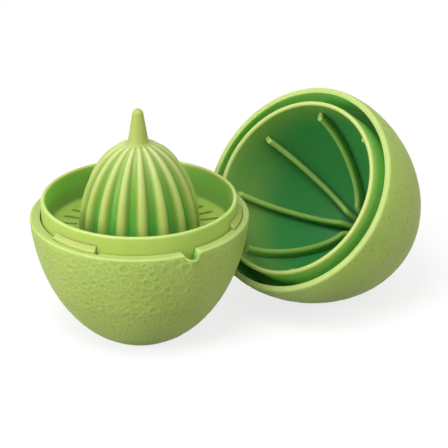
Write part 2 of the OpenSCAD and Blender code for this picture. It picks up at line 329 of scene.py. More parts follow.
def mix_colour(tree, share, one, two):
    """Mixes two colours by a share. A colour is three values or an output."""
    one, two = (c + (1.0,) if isinstance(c, tuple) else c for c in (one, two))
    return add(tree, "ShaderNodeMix", {"Factor": share, 6: one, 7: two}, data_type="RGBA")[2]


def lime_plastic(name, fresh, shade, edge, painted_glow_and_shade, hollow, grain_size, grain_depth, rough, shine, glow):
    """Satin moulded plastic: a cloudy mix of fresh and shade, tinted by the painted light towards edge, by
    the painted glow and shade towards the green tint and by the painted shade towards hollow, with fine mould
    grain, uneven gloss and light that spreads under the surface as far as glow."""
    finish = bpy.data.materials.new(name)
    finish.use_nodes = True
    tree = finish.node_tree
    place = add(tree, "ShaderNodeTexCoord")["Object"]
    cloud = add(tree, "ShaderNodeTexNoise", {"Vector": place, **CLOUD})["Fac"]
    grain = add(tree, "ShaderNodeTexNoise", {"Vector": place, "Scale": grain_size, **GRAIN})["Fac"]
    gloss = add(tree, "ShaderNodeTexNoise", {"Vector": place, **GLOSS})["Fac"]
    both = add(tree, "ShaderNodeMath", {0: cloud, 1: grain}, operation="ADD")["Value"]
    share = add(tree, "ShaderNodeMapRange", {"Value": both, **CLOUD_RANGE})["Result"]
    colour = mix_colour(tree, share, fresh, shade)
    # painted light towards edge, painted glow and shade towards the green, painted shade towards hollow
    for mark, tint in (("lip", edge), ("painted_glow_and_shade", painted_glow_and_shade), ("painted_shade", hollow)):
        share = add(tree, "ShaderNodeAttribute", attribute_name=mark)["Fac"]
        colour = mix_colour(tree, share, colour, tint)
    dull = {"Value": gloss, "To Min": rough - GLOSS_SPREAD, "To Max": rough + GLOSS_SPREAD}
    bump = {"Height": grain, "Strength": GRAIN_STRENGTH, "Distance": grain_depth}
    look = {"Base Color": colour,
            "Roughness": add(tree, "ShaderNodeMapRange", dull)["Result"],
            "Normal": add(tree, "ShaderNodeBump", bump)["Normal"],
            "Specular IOR Level": shine,
            "Subsurface Weight": GLOW_SHARE,
            "Subsurface Radius": GLOW_RADIUS,
            "Subsurface Scale": glow}
    for key, value in look.items():
        feed(tree, tree.nodes["Principled BSDF"].inputs[key], value)
    return finish


# the hollow colour of each finish is the colour of its painted shade
rind_finish = lime_plastic("lime_rind", **RIND, glow=0.004)
lid_finish = lime_plastic("lime_lid_rind", **RIND, glow=0.010)
basket_finish = lime_plastic("lime_basket", **BASKET, hollow=(0.06, 0.50, 0.11), glow=0.008)
reamer_finish = lime_plastic("lime_reamer", **REAMER, hollow=(0.07, 0.33, 0.075), glow=0.003)
cup_finish = lime_plastic("lime_cup", **INNER, hollow=(0.028, 0.26, 0.066), glow=0.008)


# Pebbled rind

BOWL_PEBBLES = dict(tries=8000, smallest=0.75, largest=2.9, gap=0.15, seed=11)
BOWL_RELIEF = dict(dimple=0.17, outline=0.18, width=0.38)
LID_PEBBLES = dict(tries=6500, smallest=0.7, largest=2.2, gap=0.2, seed=23)
LID_RELIEF = dict(dimple=0.3, outline=0.15, width=0.42)

# patches of large cells, the sway that unrounds them, and the weights of the painted shade in the dimples and
# the painted highlight on the outlines
PATCHES = 2
PATCH_TURN = 2.44
PATCH_LOW, PATCH_HIGH = 8, 32
FINE_SHARE = 0.3
SMALL_BIAS = (0.9, 3.0)
LEAST_DEPTH = 0.4
SWAY = 0.3
SWAY_WAVES = (1.3, 0.6)
BLOCKS = 40
DIMPLE_DEEP = 0.3
OUTLINE_LIP = 1.6


def bowl_patches(turn, z):
    """Share of the full cell size on the bowl: large cells high up in two broad patches, fine pebbles
    elsewhere."""
    patch = 0.5 + 0.5 * np.cos(PATCHES * turn + PATCH_TURN)
    return FINE_SHARE + (1 - FINE_SHARE) * patch * ramp(z, PATCH_LOW, PATCH_HIGH)


def pebble_seeds(profile, broad, tries, smallest, largest, gap, seed):
    """Circles strewn over a turned surface, large ones first. A circle is kept where it clears the ones
    before it. Gives the middle of each circle, its radius and a depth. Broad gives the share of the full
    size at a place."""
    draw = np.random.default_rng(seed)
    step = np.linalg.norm(np.diff(profile, axis=0), axis=1) * (profile[1:, 0] + profile[:-1, 0]) / 2
    area = np.concatenate([[0], np.cumsum(step)])
    share = draw.uniform(0, area[-1], tries)
    r, z = np.interp(share, area, profile[:, 0]), np.interp(share, area, profile[:, 1])
    turn = draw.uniform(0, TURN, tries)
    centres = np.stack([r * np.cos(turn), r * np.sin(turn), z], -1)
    size = smallest + (largest - smallest) * draw.beta(*SMALL_BIAS, tries) * broad(turn, z)
    order = np.argsort(-size)
    centres, size = centres[order], size[order]
    kept = np.zeros(tries, bool)
    for k in range(tries):
        clear = np.linalg.norm(centres[:k][kept[:k]] - centres[k], axis=1) - size[:k][kept[:k]]
        kept[k] = clear.size == 0 or clear.min() > size[k] + gap
    return centres[kept], size[kept], draw.uniform(LEAST_DEPTH, 1.0, kept.sum())


def pebbles(points, seeds, dimple, outline, width):
    """Height of the rind: inside each circle a shallow dimple, one minus the square of the distance over
    the radius, and round it a fine raised outline, a bell curve over the distance from the circle. The
    place is shifted by sines of itself first, so that no circle stays quite round."""
    centres, size, depth = (s.astype(np.float32) for s in seeds)
    place = points.reshape(-1, 3).astype(np.float32)
    place = place + SWAY * np.sin(SWAY_WAVES[0] * place[:, [1, 2, 0]] + SWAY_WAVES[1] * place[:, [2, 0, 1]])
    heights = []
    for block in np.array_split(place, BLOCKS):
        square = (block ** 2).sum(1)[:, None] + (centres ** 2).sum(1)[None] - 2 * block @ centres.T
        far = np.sqrt(np.maximum(square, 0))
        nearest = np.argmin(far - size, axis=1)
        reach = size[nearest]
        ratio = far[np.arange(len(block)), nearest] / reach
        ridge = outline * (0.5 + 0.5 * depth[nearest]) * np.exp(-((ratio - 1) * reach / width) ** 2)
        heights.append(ridge - dimple * depth[nearest] * np.maximum(1 - ratio ** 2, 0))
    return np.concatenate(heights).reshape(points.shape[:2])


def push_out(points, height):
    """Moves each corner of a grid along its own normal, the cross product of the grid's two tangents."""
    along = np.gradient(points, axis=0)
    across = np.roll(points, -1, axis=1) - np.roll(points, 1, axis=1)
    normal = np.cross(across, along)
    normal /= np.maximum(np.linalg.norm(normal, axis=2, keepdims=True), TINY)
    return points + normal * height[:, :, None]


def rind_marks(relief):
    """Painted shade, greener in the dimples, and painted highlight, paler on the raised outlines."""
    return np.clip(-DIMPLE_DEEP * relief, 0, 1), np.clip(OUTLINE_LIP * relief, 0, 1)


# Bowl

# columns of the two rings, rows of the land and the first of them that a recess lowers
BASE_COLS = 620
RIM_COLS = 690
SPOUT_COLS, SPOUT_SWING = 65, 0.13
RECESS_END_COLS = (-0.0025, -0.0004, 0.0004, 0.0025)
LEAST_SWING = 0.0006
LAND_SHARES = (0.72, 0.6, 0.5, 0.43, 0.405, 0.26, 0.13)
RECESS_ROW = 4

# soft edges and fading spans: heights at the foot, distances at the beak, depths below the rim elsewhere
FOOT_EDGE = 1.2
FOOT_EDGE_IN, FOOT_EDGE_UP = 0.3, 0.06
FOOT_SMOOTH = (1.0, 4.0)
MOUTH_EDGE = 0.3
BORE_TOP = 0.5
NOTCH_SQUEEZE = (8, RIM_EDGE)
NOTCH_GREEN = (12, 6)
RECESS_SQUEEZE = (3.2, 0.4)
RIM_SMOOTH = (2.2, 1.0)
RIM_PALE = (1.9, 0.9)
BEAK_GROW = 0.2
BEAK_SMOOTH = (-0.9, 0.1)

# weights of the painted shade, painted light and painted glow
CAVITY_DEEP = 0.45
BORE_DEEP, BORE_DEEPER = 0.2, 0.03
RIM_LIP = 0.25
BEAK_LIP = 0.5
NOTCH_LEAF = 0.5


def bowl_columns():
    """Angles of the rim's columns: even, closer at the spout, and doubled at the near end of each
    recess."""
    base = even(RIM_COLS)
    spout = SPOUT_AZ + np.linspace(-SPOUT_SWING, SPOUT_SWING, SPOUT_COLS)
    ends = EAR_AZ - EAR_SPAN / 2 - EAR_SLACK + np.arange(EARS)[:, None] * EAR_PITCH
    ends = (ends + np.array(RECESS_END_COLS)).reshape(-1)
    every = np.sort(np.concatenate([base, spout, ends]) % TURN)
    return every[np.concatenate([[True], np.diff(every) > LEAST_SWING])]


def below_rim(z, low, high):
    """Smooth step over heights that are given as depths below the bowl's rim."""
    return ramp(z, BOWL_H - low, BOWL_H - high)


def off_spout(turns):
    """Angle from the spout, between minus and plus half a turn."""
    return (turns - SPOUT_AZ + math.pi) % TURN - math.pi


def cone_reach(turns, z, axis, radius, height):
    """Distance from the bowl's axis to an upright cone at the spout: where a ray at that angle leaves its
    circle."""
    rho = radius * np.clip(1 - (BOWL_H - z) / height, 0, None)
    off = off_spout(turns)
    side = axis * np.sin(off)
    reach = axis * np.cos(off) + np.sqrt(np.maximum(rho ** 2 - side ** 2, 0))
    return np.where((np.abs(side) < rho) & (np.abs(off) < 1), reach, 0)


def notch_drop(turns):
    """How far the pouring notch lowers the rim: a circle's arc across the spout."""
    off = off_spout(turns)
    side = np.where(np.abs(off) < 1, RIM_R * np.sin(off), NOTCH_R)
    return np.maximum(NOTCH_DEPTH - NOTCH_R + np.sqrt(np.maximum(NOTCH_R ** 2 - side ** 2, 0)), 0)


def recess_share(turns):
    """Share of a recess's full depth: one under an ear, falling to zero along a ramp past its far end."""
    off = (turns - EAR_AZ + EAR_PITCH / 2) % EAR_PITCH - EAR_PITCH / 2
    end = EAR_SPAN / 2 + EAR_SLACK
    return (off > -end) * np.clip((end + EAR_PAST - off) / EAR_PAST, 0, 1)


def soft_max(a, b, width):
    """The larger of two values, with the crease between them rounded over the width."""
    mid = np.clip(0.5 + (b - a) / (2 * width), 0, 1)
    return a * (1 - mid) + b * mid + width * mid * (1 - mid)


def bowl_wall(radius, depth, low, high, count):
    """Part of the bowl's ellipse between two heights, in even steps of its angle."""
    start, end = (math.asin((GIRDLE_Z - z) / depth) for z in (low, high))
    return bulb(radius, depth, GIRDLE_Z, 2, start, end, count)


def make_bowl():
    """Two closed rings of the wall that meet at a hidden flat seam, under one sheet of pebbles."""
    seeds = pebble_seeds(bowl_wall(BOWL_GR, BOWL_B, 0, BOWL_H, 60), bowl_patches, **BOWL_PEBBLES)
    make_bowl_base(seeds)
    make_bowl_rind(seeds)


def make_bowl_base(seeds):
    """Lower ring, a turned profile: across the flat foot and its soft edge, up the outside ellipse to the
    seam, back down the cavity's ellipse and across the floor."""
    wall = bowl_wall(BOWL_GR, BOWL_B, 0, SEAM_Z, 88)
    foot = line((0, 0), (FOOT_R - FOOT_EDGE, 0), 6)
    outer = chain(foot, [[FOOT_R - FOOT_EDGE_IN, FOOT_EDGE_UP]], wall[1:])
    cavity = bowl_wall(CAVITY_R, CAVITY_B, SEAM_Z, BOWL_FLOOR, 16)
    profile = np.concatenate([outer, cavity, line(cavity[-1], (0, BOWL_FLOOR), 4)[1:]])
    n_out = len(outer)
    grid = revolve(profile, even(BASE_COLS))

    # the rind fades out at the foot
    on_rind = ramp(profile[:n_out, 1], *FOOT_SMOOTH)[:, None]
    relief = pebbles(grid[:n_out], seeds, **BOWL_RELIEF) * on_rind
    grid[:n_out] = push_out(grid[:n_out], relief)
    # painted shade over the whole cavity; outside, the rind's painted shade in the dimples and painted
    # highlight on the outlines
    painted_shade, lip = np.full(grid.shape[:2], CAVITY_DEEP), np.zeros(grid.shape[:2])
    painted_shade[:n_out], lip[:n_out] = rind_marks(relief)
    piece("bowl_base", "bowl", "bowl", rind_finish, [skin(grid, painted_shade, lip)])


def make_bowl_rind(seeds):
    """Upper ring: up the outside ellipse, over the rounded rim edge and the land and down the bore. The notch
    lowers the rim, the beak swells the wall by a cone, a leaning cone hollows the bore behind it, and each
    recess lowers the inner part of the land under an ear."""
    turns = bowl_columns()
    outer = bowl_wall(BOWL_GR, BOWL_B, SEAM_Z, BOWL_H - RIM_EDGE, 80)
    edge = arc((RIM_R - RIM_EDGE, BOWL_H - RIM_EDGE), RIM_EDGE, 0, 90, 6)[1:]
    land_share = np.array(LAND_SHARES)
    land = np.stack([BORE_R + (RIM_R - BORE_R) * land_share, np.full(len(land_share), BOWL_H)], -1)
    mouth = arc((BORE_R + MOUTH_EDGE, BOWL_H - MOUTH_EDGE), MOUTH_EDGE, 90, 180, 4)
    bore_end = GIRDLE_Z - CAVITY_B * math.sin(math.acos(BORE_R / CAVITY_R))
    inner = chain(line((BORE_R, BOWL_H - BORE_TOP), (BORE_R, bore_end), 14),
                  bowl_wall(CAVITY_R, CAVITY_B, bore_end, SEAM_Z, 8))
    n_out, n_lip = len(outer), len(outer) + len(edge)
    n_top = n_lip + len(land) + len(mouth)
    grid = revolve(np.concatenate([outer, edge, land, mouth, inner]), turns)
    radius = np.hypot(grid[..., 0], grid[..., 1])
    z = grid[..., 2].copy()

    # the outside swells at the beak, the inside at its channel
    lean = (CHANNEL_OUT + CHANNEL_FOOT) / CHANNEL_H
    below = BOWL_H - np.minimum(z, BOWL_H)
    channel = cone_reach(turns, z, BORE_R + CHANNEL_OUT - lean * below, CHANNEL_R, CHANNEL_H)
    rim_out = soft_max(np.full_like(turns, RIM_R), cone_reach(turns, BOWL_H, *BEAK), BEAK_CREASE) - RIM_R
    rim_in = np.maximum(channel[n_top - 1] - BORE_R, 0)
    radius[:n_out] = soft_max(radius[:n_out], cone_reach(turns, z[:n_out], *BEAK), BEAK_CREASE)
    radius[n_out:n_lip] += rim_out
    share = np.concatenate([land_share, np.zeros(len(mouth))])[:, None]
    radius[n_lip:n_top] += rim_out * share + rim_in * (1 - share)
    radius[n_top:] = np.maximum(radius[n_top:], channel[n_top:])

    # the notch lowers the rim and squeezes the rows below it, the recesses lower the inner part of the land
    notch = notch_drop(turns)
    z -= notch * below_rim(z, *NOTCH_SQUEEZE)
    row = np.arange(len(z))[:, None]
    n_low = n_lip + RECESS_ROW
    full = (row >= n_low) & (row < n_top)
    z -= EAR_DOWN * recess_share(turns) * (full + (row >= n_top) * below_rim(z, *RECESS_SQUEEZE))
    grid = np.stack([radius * np.cos(turns), radius * np.sin(turns), z], -1)

    # the rind fades out at the lip and on the beak
    beak_reach = cone_reach(turns, z[:n_out], SPOUT_AXIS, SPOUT_R + BEAK_GROW, SPOUT_H)
    on_beak = ramp(beak_reach - radius[:n_out], *BEAK_SMOOTH)
    on_rind = (1 - below_rim(z[:n_out], *RIM_SMOOTH)) * (1 - on_beak)
    relief = pebbles(grid[:n_out], seeds, **BOWL_RELIEF) * on_rind
    grid[:n_out] = push_out(grid[:n_out], relief)

    # painted highlight on the rounded rim edge, the land and the beak, painted shade greener down the bore,
    # painted glow bright green in the notch, and the rind's painted shade and highlight
    painted_shade, lip, painted_glow_and_shade = np.zeros(z.shape), np.zeros(z.shape), np.zeros(z.shape)
    painted_shade[:n_out], lip[:n_out] = rind_marks(relief)
    near_lip = below_rim(z[:n_out], *RIM_PALE)
    lip[:n_out] = np.clip(lip[:n_out] + RIM_LIP * near_lip + BEAK_LIP * on_beak, 0, 1)
    lip[n_out:n_top] = RIM_LIP
    painted_shade[n_top:] = np.clip(BORE_DEEP + BORE_DEEPER * (BOWL_H - z[n_top:]), 0, CAVITY_DEEP)
    in_notch = np.clip(2 * notch / NOTCH_DEPTH, 0, 1)
    painted_glow_and_shade[n_low - 1:] = NOTCH_LEAF * in_notch * below_rim(z[n_low - 1:], *NOTCH_GREEN)
    piece("bowl_rind", "bowl", "bowl", rind_finish, [skin(grid, painted_shade, lip, painted_glow_and_shade, close_rows=True)])


# Strainer

# columns and points, the spans over which the painted marks fade, and the weights of the painted shade,
# painted light and painted glow
SLOT_COLS = 8
SLOT_POINTS = 32
HAIR = 0.02
COLLAR_SHADE = (0.4, 3.0)
COLLAR_PALE = (-1.0, -0.5)
FLOOR_DEEP = 0.06
FLOOR_LEAF = 0.45
UNDER_DEEP = 0.1
SLOT_DEEP = 0.3
COLLAR_DEEP = 0.38
COLLAR_LIP = 0.4
OUTSIDE_DEEP = 0.04
EAR_LIP = 0.1


def collar_skins():
    """The collar with the floor's border and the hub under the reamer, two turned profiles that leave the
    slotted ring open between them."""
    turns = even(SLOTS * SLOT_COLS, SLOT_TURN - SLOT_PITCH / 2)
    lip_r = (COLLAR_R - COLLAR_IN) / 2
    collar = chain(
        line((SLOTTED_OUT, UNDER_Z), (COLLAR_R - COLLAR_FOOT, UNDER_Z), 5),
        arc((COLLAR_R - COLLAR_FOOT, UNDER_Z + COLLAR_FOOT), COLLAR_FOOT, -90, 0, 5),
        line((COLLAR_R, UNDER_Z + 0.8), (COLLAR_R, COLLAR_Z - lip_r), 22),
        arc((COLLAR_R - lip_r, COLLAR_Z - lip_r), lip_r, 0, 180, 13),
        line((COLLAR_IN, COLLAR_Z - lip_r - 0.3), (COLLAR_IN, FLOOR_Z + 1.0), 20),
        arc((COLLAR_IN - COLLAR_FILLET, FLOOR_Z + COLLAR_FILLET), COLLAR_FILLET, 0, -90, 6)[1:],
        line((COLLAR_IN - 1.1, FLOOR_Z), (SLOTTED_OUT, FLOOR_Z), 5))
    hub = chain(
        line((SLOTTED_IN, FLOOR_Z), (HOLLOW_R, FLOOR_Z), 5),
        line((HOLLOW_R, FLOOR_Z - 0.4), (HOLLOW_R, UNDER_Z), 4),
        line((HOLLOW_R + 0.8, UNDER_Z), (SLOTTED_IN, UNDER_Z), 5))
    skins = []
    for profile in (collar, hub):
        r, z = profile[:, 0], profile[:, 1]
        # painted shade inside the collar, growing towards the floor, faint on the floor and outside; painted
        # highlight on the collar's top; painted light, yellow-green, on the floor's top
        inside = (r < COLLAR_IN + 0.2) & (z > FLOOR_Z + HAIR)
        outside = (r > COLLAR_R - 0.6) & (z < COLLAR_Z - 0.8)
        painted_shade = np.where(inside, COLLAR_DEEP * ramp(COLLAR_Z - z, *COLLAR_SHADE), FLOOR_DEEP)
        painted_shade = np.where(outside, OUTSIDE_DEEP, painted_shade)
        on_lip = ramp(z - COLLAR_Z, *COLLAR_PALE)
        lip = np.where(inside | (r < COLLAR_IN), 0.0, COLLAR_LIP * on_lip)
        painted_glow_and_shade = np.where(np.abs(z - FLOOR_Z) < HAIR, FLOOR_LEAF, 0.0)
        skins.append(skin(revolve(profile, turns), painted_shade[:, None], lip[:, None], painted_glow_and_shade[:, None]))
    return skins


def slot_outline(grow):
    """Stadium round one slot, a straight run with half circles at both ends, walked from the outer end."""
    half = SLOT_W / 2 + grow
    a, b = SLOT_IN + SLOT_W / 2, SLOT_OUT - SLOT_W / 2
    side = SLOT_POINTS // 4
    end = np.radians(np.linspace(-90, 90, side, endpoint=False) + 90 / side)
    run = a + (b - a) * (np.arange(side) + 0.5) / side
    x = np.concatenate([b + half * np.cos(end), run[::-1], a - half * np.cos(end), run])
    y = np.concatenate([half * np.sin(end), np.full(side, half), -half * np.sin(end), np.full(side, -half)])
    return np.stack([x, y], -1)


def sector_outline():
    """Edge of one sector of the slotted ring, walked the same way: outer arc, one side, inner arc, other
    side."""
    side = SLOT_POINTS // 4
    half = SLOT_PITCH / 2
    step = np.arange(side) / side
    swing = -half + 2 * half * step
    r = np.concatenate([np.full(side, SLOTTED_OUT), SLOTTED_OUT + (SLOTTED_IN - SLOTTED_OUT) * step,
                        np.full(side, SLOTTED_IN), SLOTTED_IN + (SLOTTED_OUT - SLOTTED_IN) * step])
    a = np.concatenate([swing, np.full(side, half), -swing, np.full(side, -half)])
    return np.stack([r * np.cos(a), r * np.sin(a)], -1)


def slot_skins():
    """Each slot fills its sector with rows that run from the sector's edge to the slot's stadium, down
    through the floor and out again underneath."""
    edge, wide, tight = sector_outline(), slot_outline(SLOT_EDGE), slot_outline(0.0)
    between = edge * 0.5 + wide * 0.5
    plan = [edge, between, wide, tight, tight, wide, between, edge]
    level = [FLOOR_Z] * 3 + [FLOOR_Z - SLOT_EDGE, UNDER_Z + SLOT_EDGE] + [UNDER_Z] * 3
    sector = np.stack([np.column_stack([p, np.full(SLOT_POINTS, z)]) for p, z in zip(plan, level)])
    # painted shade down the slot walls and under the floor, painted light on the floor's top
    painted_shade = np.repeat([FLOOR_DEEP, SLOT_DEEP, UNDER_DEEP], [3, 2, 3])[:, None]
    painted_glow_and_shade = np.repeat([FLOOR_LEAF, 0.0], [3, 5])[:, None]
    turns = SLOT_TURN + np.arange(SLOTS) * SLOT_PITCH
    return [skin(spin(sector, turn), painted_shade, 0.0, painted_glow_and_shade) for turn in turns]


def ear_skin(middle):
    """A bar along an arc of the collar, its section a block with a sloped upper edge. The section shrinks a
    little by a quarter circle towards each end and closes to a point in the end face."""
    low, high = BOWL_H - EAR_DOWN, BOWL_H + EAR_UP
    inner, outer, knee = COLLAR_R - EAR_SUNK, EAR_R, high - EAR_SLOPE
    section = chain(
        line((inner, low), (outer - EAR_SOFT, low), 4),
        arc((outer - EAR_SOFT, low + EAR_SOFT), EAR_SOFT, -90, 0, 4),
        line((outer, knee - 0.3), (outer - 0.12, knee + 0.05), 3),
        line((outer - 0.3, knee + 0.25), (outer - EAR_SLOPE, high - 0.12), 3),
        line((outer - EAR_SLOPE - 0.25, high), (inner, high), 4))
    bend = np.linspace(0, QUARTER, 6)
    shrink = 1 - EAR_SHRINK * (1 - np.sin(bend))
    start = -EAR_SPAN / 2 + EAR_END * (1 - np.cos(bend))
    along = np.linspace(start[-1], -start[-1], 28)[1:-1]
    turns = middle + np.concatenate([[start[0]], start, along, -start[::-1], [-start[0]]])
    size = np.concatenate([[0], shrink, np.ones(len(along)), shrink[::-1], [0]])
    hub = np.array([inner + EAR_SOFT, (low + high) / 2])
    spread = hub + (section - hub)[:, None] * size[None, :, None]
    r, z = spread[..., 0], spread[..., 1]
    grid = np.stack([r * np.cos(turns), r * np.sin(turns), z], -1)
    # faint painted shade and painted highlight on the ear
    return skin(grid, OUTSIDE_DEEP, EAR_LIP, close_rows=True, close_cols=False)


def make_strainer():
    """Collar and hub, slots and ears, all in one mesh."""
    ears = [ear_skin(EAR_AZ + k * EAR_PITCH) for k in range(EARS)]
    skins = collar_skins() + slot_skins() + ears
    piece("strainer_basket", "insert", "strainer", basket_finish, skins)


# Reamer

# columns of a rib, how the ribs and the painted marks fade, and the weights of the painted shade, painted
# light and painted green
RIB_COLS = 38
RIB_RUNOUT = (-0.3, 0.5)
VALLEY_POWER = 1.5
VALLEY_LEAF_POWER = 3
VALLEY_DARK = (0.55, 1.0)
VALLEY_DEEP = 0.8
CREST = (0.4, 1.0)
CREST_LIP = 0.1
TOP_POWER = 4
TOP_CREST = (0.2, 0.9)
SPIKE_LIP = 0.1
TOP_LIP, TOP_CREST_LIP = 0.45, 0.3


def rib_section(x):
    """Height of a rib across its pitch, x from -1/2 to 1/2: half an ellipse over the rib's share, softened
    by averaging over a span and stretched to run from 0 in the valley to 1 on the crest."""
    shift = np.linspace(-RIB_SOFT, RIB_SOFT, 13)[:, None]
    across = (x[None] + shift + 0.5) % 1 - 0.5
    height = np.sqrt(np.maximum(1 - (across / (RIB_SHARE / 2)) ** 2, 0)).mean(axis=0)
    return (height - height.min()) / (height.max() - height.min())


def dome_line(radius, height, t):
    """Quarter outline of a dome: radius times cos t, height times a power of sin t."""
    return np.stack([radius * np.cos(t), height * np.sin(t) ** (2 / DOME_FULL)], -1)


def spike_line(shoulder, lead):
    """Outline from the shoulder to the tip: a curve with four handles that leaves along the dome and runs
    into the spike's flank, then the flank and a quarter circle over the tip."""
    tip_z = SPIKE_TOP - SPIKE_TIP
    lead = lead / np.linalg.norm(lead)
    flank = np.array([SPIKE_TIP - SPIKE_R, tip_z - shoulder[1]])
    flank = flank / np.linalg.norm(flank)
    foot = np.array([SPIKE_R, shoulder[1]]) + SPIKE_FOOT * flank
    out, into = shoulder + lead * SHOULDER_PULL, foot - flank * SPIKE_PULL
    u = np.linspace(0, 1, 14)[1:, None]
    curve = (1 - u) ** 3 * shoulder + 3 * (1 - u) ** 2 * u * out + 3 * (1 - u) * u ** 2 * into + u ** 3 * foot
    spike = chain(line(foot, (SPIKE_TIP, tip_z), 14)[1:], arc((0, tip_z), SPIKE_TIP, 0, 90, 9)[1:])
    spike[-1, 0] = 0
    return curve, spike


def make_reamer():
    """A ribbed dome with a spike over a plain hollow, one closed skin. The dome's outline is the crest of a
    rib, and the valleys lie one rib depth lower, a depth that goes with a power of cos t and fades out on
    the curve to the spike."""
    turns = even(RIBS * RIB_COLS, RIB_TURN)
    rib = rib_section((np.arange(RIBS * RIB_COLS) / RIB_COLS + 0.5) % 1 - 0.5)
    t = np.linspace(0, math.acos(SHOULDER_R / REAMER_R), 92)
    crest = dome_line(REAMER_R, DOME_H, t)
    curve, spike = spike_line(crest[-1], crest[-1] - crest[-2])
    hollow = dome_line(HOLLOW_R, HOLLOW_H, np.linspace(0, QUARTER, 10))[::-1]
    hollow[0, 0] = 0
    outside = np.concatenate([crest, curve, spike])
    depth = RIB_D * np.cos(t) ** RIB_FADE
    u = np.linspace(0, 1, len(curve) + 1)[1:]
    fade = np.concatenate([depth, depth[-1] * (1 - ramp(u, *RIB_RUNOUT)), np.zeros(len(spike))])
    radius = outside[:, 0, None] - fade[:, None] * (1 - rib)
    radius = np.concatenate([np.repeat(hollow[:, :1], len(turns), 1), radius])
    height = np.concatenate([hollow[:, 1], outside[:, 1]])[:, None] + FLOOR_Z
    grid = np.stack([radius * np.cos(turns), radius * np.sin(turns), height + 0 * turns], -1)

    # painted shade: green valleys that darken towards the foot and a dark underside; painted light: crests
    # that grow pale towards the top, and a faint wash where there are no ribs
    low = 1 - np.clip((height - FLOOR_Z) / DOME_H, 0, 1)
    ribbed = np.concatenate([np.zeros(len(hollow)), fade / np.maximum(fade, depth[-1])])[:, None]
    valley = (1 - rib) ** VALLEY_POWER * ribbed
    painted_glow_and_shade = valley * (1 - (1 - low) ** VALLEY_LEAF_POWER)
    painted_shade = valley * VALLEY_DEEP * ramp(low, *VALLEY_DARK)
    painted_shade[:len(hollow)] = VALLEY_DEEP
    near_top = (1 - low) ** TOP_POWER * (TOP_LIP + TOP_CREST_LIP * ramp(rib, *TOP_CREST))
    lip = (near_top + CREST_LIP * ramp(rib, *CREST)) * ribbed + SPIKE_LIP * (1 - ribbed)
    piece("reamer_dome", "insert", "reamer", reamer_finish, [skin(grid, painted_shade, lip, painted_glow_and_shade)])


# Lid

# columns, the heights and depths over which rind and painted marks fade, and the weights of the painted
# light, painted glow and painted shade
LID_COLS = 540
LID_SMOOTH = (-2.0, -1.0)
LID_PALE = (-1.3, -0.7)
GROOVE_SHADE = (4, 16)
LID_LIP = 0.35
GROOVE_LIP = 0.5
GROOVE_LEAF = 0.5
GROOVE_DEEP, GROOVE_DEEPER = 0.15, 0.4


def lid_wall_at(s):
    """Radius of the shell's inside at a depth below the rim, on its superellipse."""
    return SHELL_R * np.maximum(1 - (np.abs(s - GIRDLE) / SHELL_B) ** LID_ROUND, 0) ** (1 / LID_ROUND)


def make_lid_shell():
    """Pointed superellipse from the closed end to the rim, over the rounded rim edge, down the groove's outer
    wall to the ledge and back along the inside. Fine pebbles cover the outside."""
    dome = bulb(LID_GR, LID_B, -GIRDLE, LID_ROUND, QUARTER, 0, 120)
    dome[0, 0] = 0
    s = np.linspace(GIRDLE, RIM_EDGE, 11)[1:]
    waist = np.stack([LID_GR * (1 - ((GIRDLE - s) / LID_B) ** LID_ROUND) ** (1 / LID_ROUND), -s], -1)
    outer = chain(dome, waist)
    lip_out = arc((RIM_R - RIM_EDGE, -RIM_EDGE), RIM_EDGE, 0, 90, 6)[1:]
    lip_in = arc((LIP_IN + LIP_EDGE, -LIP_EDGE), LIP_EDGE, 90, 180, 4)
    g = np.linspace(2 * LIP_EDGE, LEDGE_S, 14)
    groove = np.stack([lid_wall_at(g), -g], -1)
    ledge_r = lid_wall_at(LEDGE_S) - FLANGE_PLAY - LEDGE_W
    ledge = np.array([[ledge_r, -LEDGE_S], [ledge_r, -LEDGE_S - LEDGE_T]])
    start = math.asin(((LEDGE_S + LEDGE_T - GIRDLE) / SHELL_B) ** (LID_ROUND / 2))
    inside = bulb(SHELL_R, SHELL_B, -GIRDLE, LID_ROUND, start, QUARTER, 16)
    inside[-1, 0] = 0
    profile = np.concatenate([outer, lip_out, lip_in, groove, ledge, inside])
    n_out, n_rim = len(outer), len(outer) + len(lip_out) + len(lip_in)
    grid = revolve(profile, even(LID_COLS))

    # the rind fades out at the lip
    seeds = pebble_seeds(outer[::-1], lambda turn, z: 1.0, **LID_PEBBLES)
    on_rind = 1 - ramp(profile[:n_out, 1], *LID_SMOOTH)[:, None]
    relief = pebbles(grid[:n_out], seeds, **LID_RELIEF) * on_rind
    grid[:n_out] = push_out(grid[:n_out], relief)

    # painted highlight near the rim and on the rind's outlines, painted glow bright green in the groove and
    # inside the shell, and painted shade that darkens them downwards
    lip = np.zeros(grid.shape[:2])
    near_lip = ramp(profile[:n_out, 1], *LID_PALE)[:, None]
    lip[:n_out] = np.clip(LID_LIP * near_lip + OUTLINE_LIP * relief, 0, 1)
    lip[n_out:n_rim] = LID_LIP
    lip[n_rim:n_rim + len(groove)] = GROOVE_LIP
    painted_shade, painted_glow_and_shade = np.zeros((len(profile), 1)), np.zeros((len(profile), 1))
    painted_shade[n_rim:, 0] = GROOVE_DEEP + GROOVE_DEEPER * ramp(-profile[n_rim:, 1], *GROOVE_SHADE)
    painted_glow_and_shade[n_rim:] = GROOVE_LEAF
    piece("lid_rind", "lid", "lid_shell", lid_finish, [skin(lay_down(grid), painted_shade, lip, painted_glow_and_shade)])


# Press cup

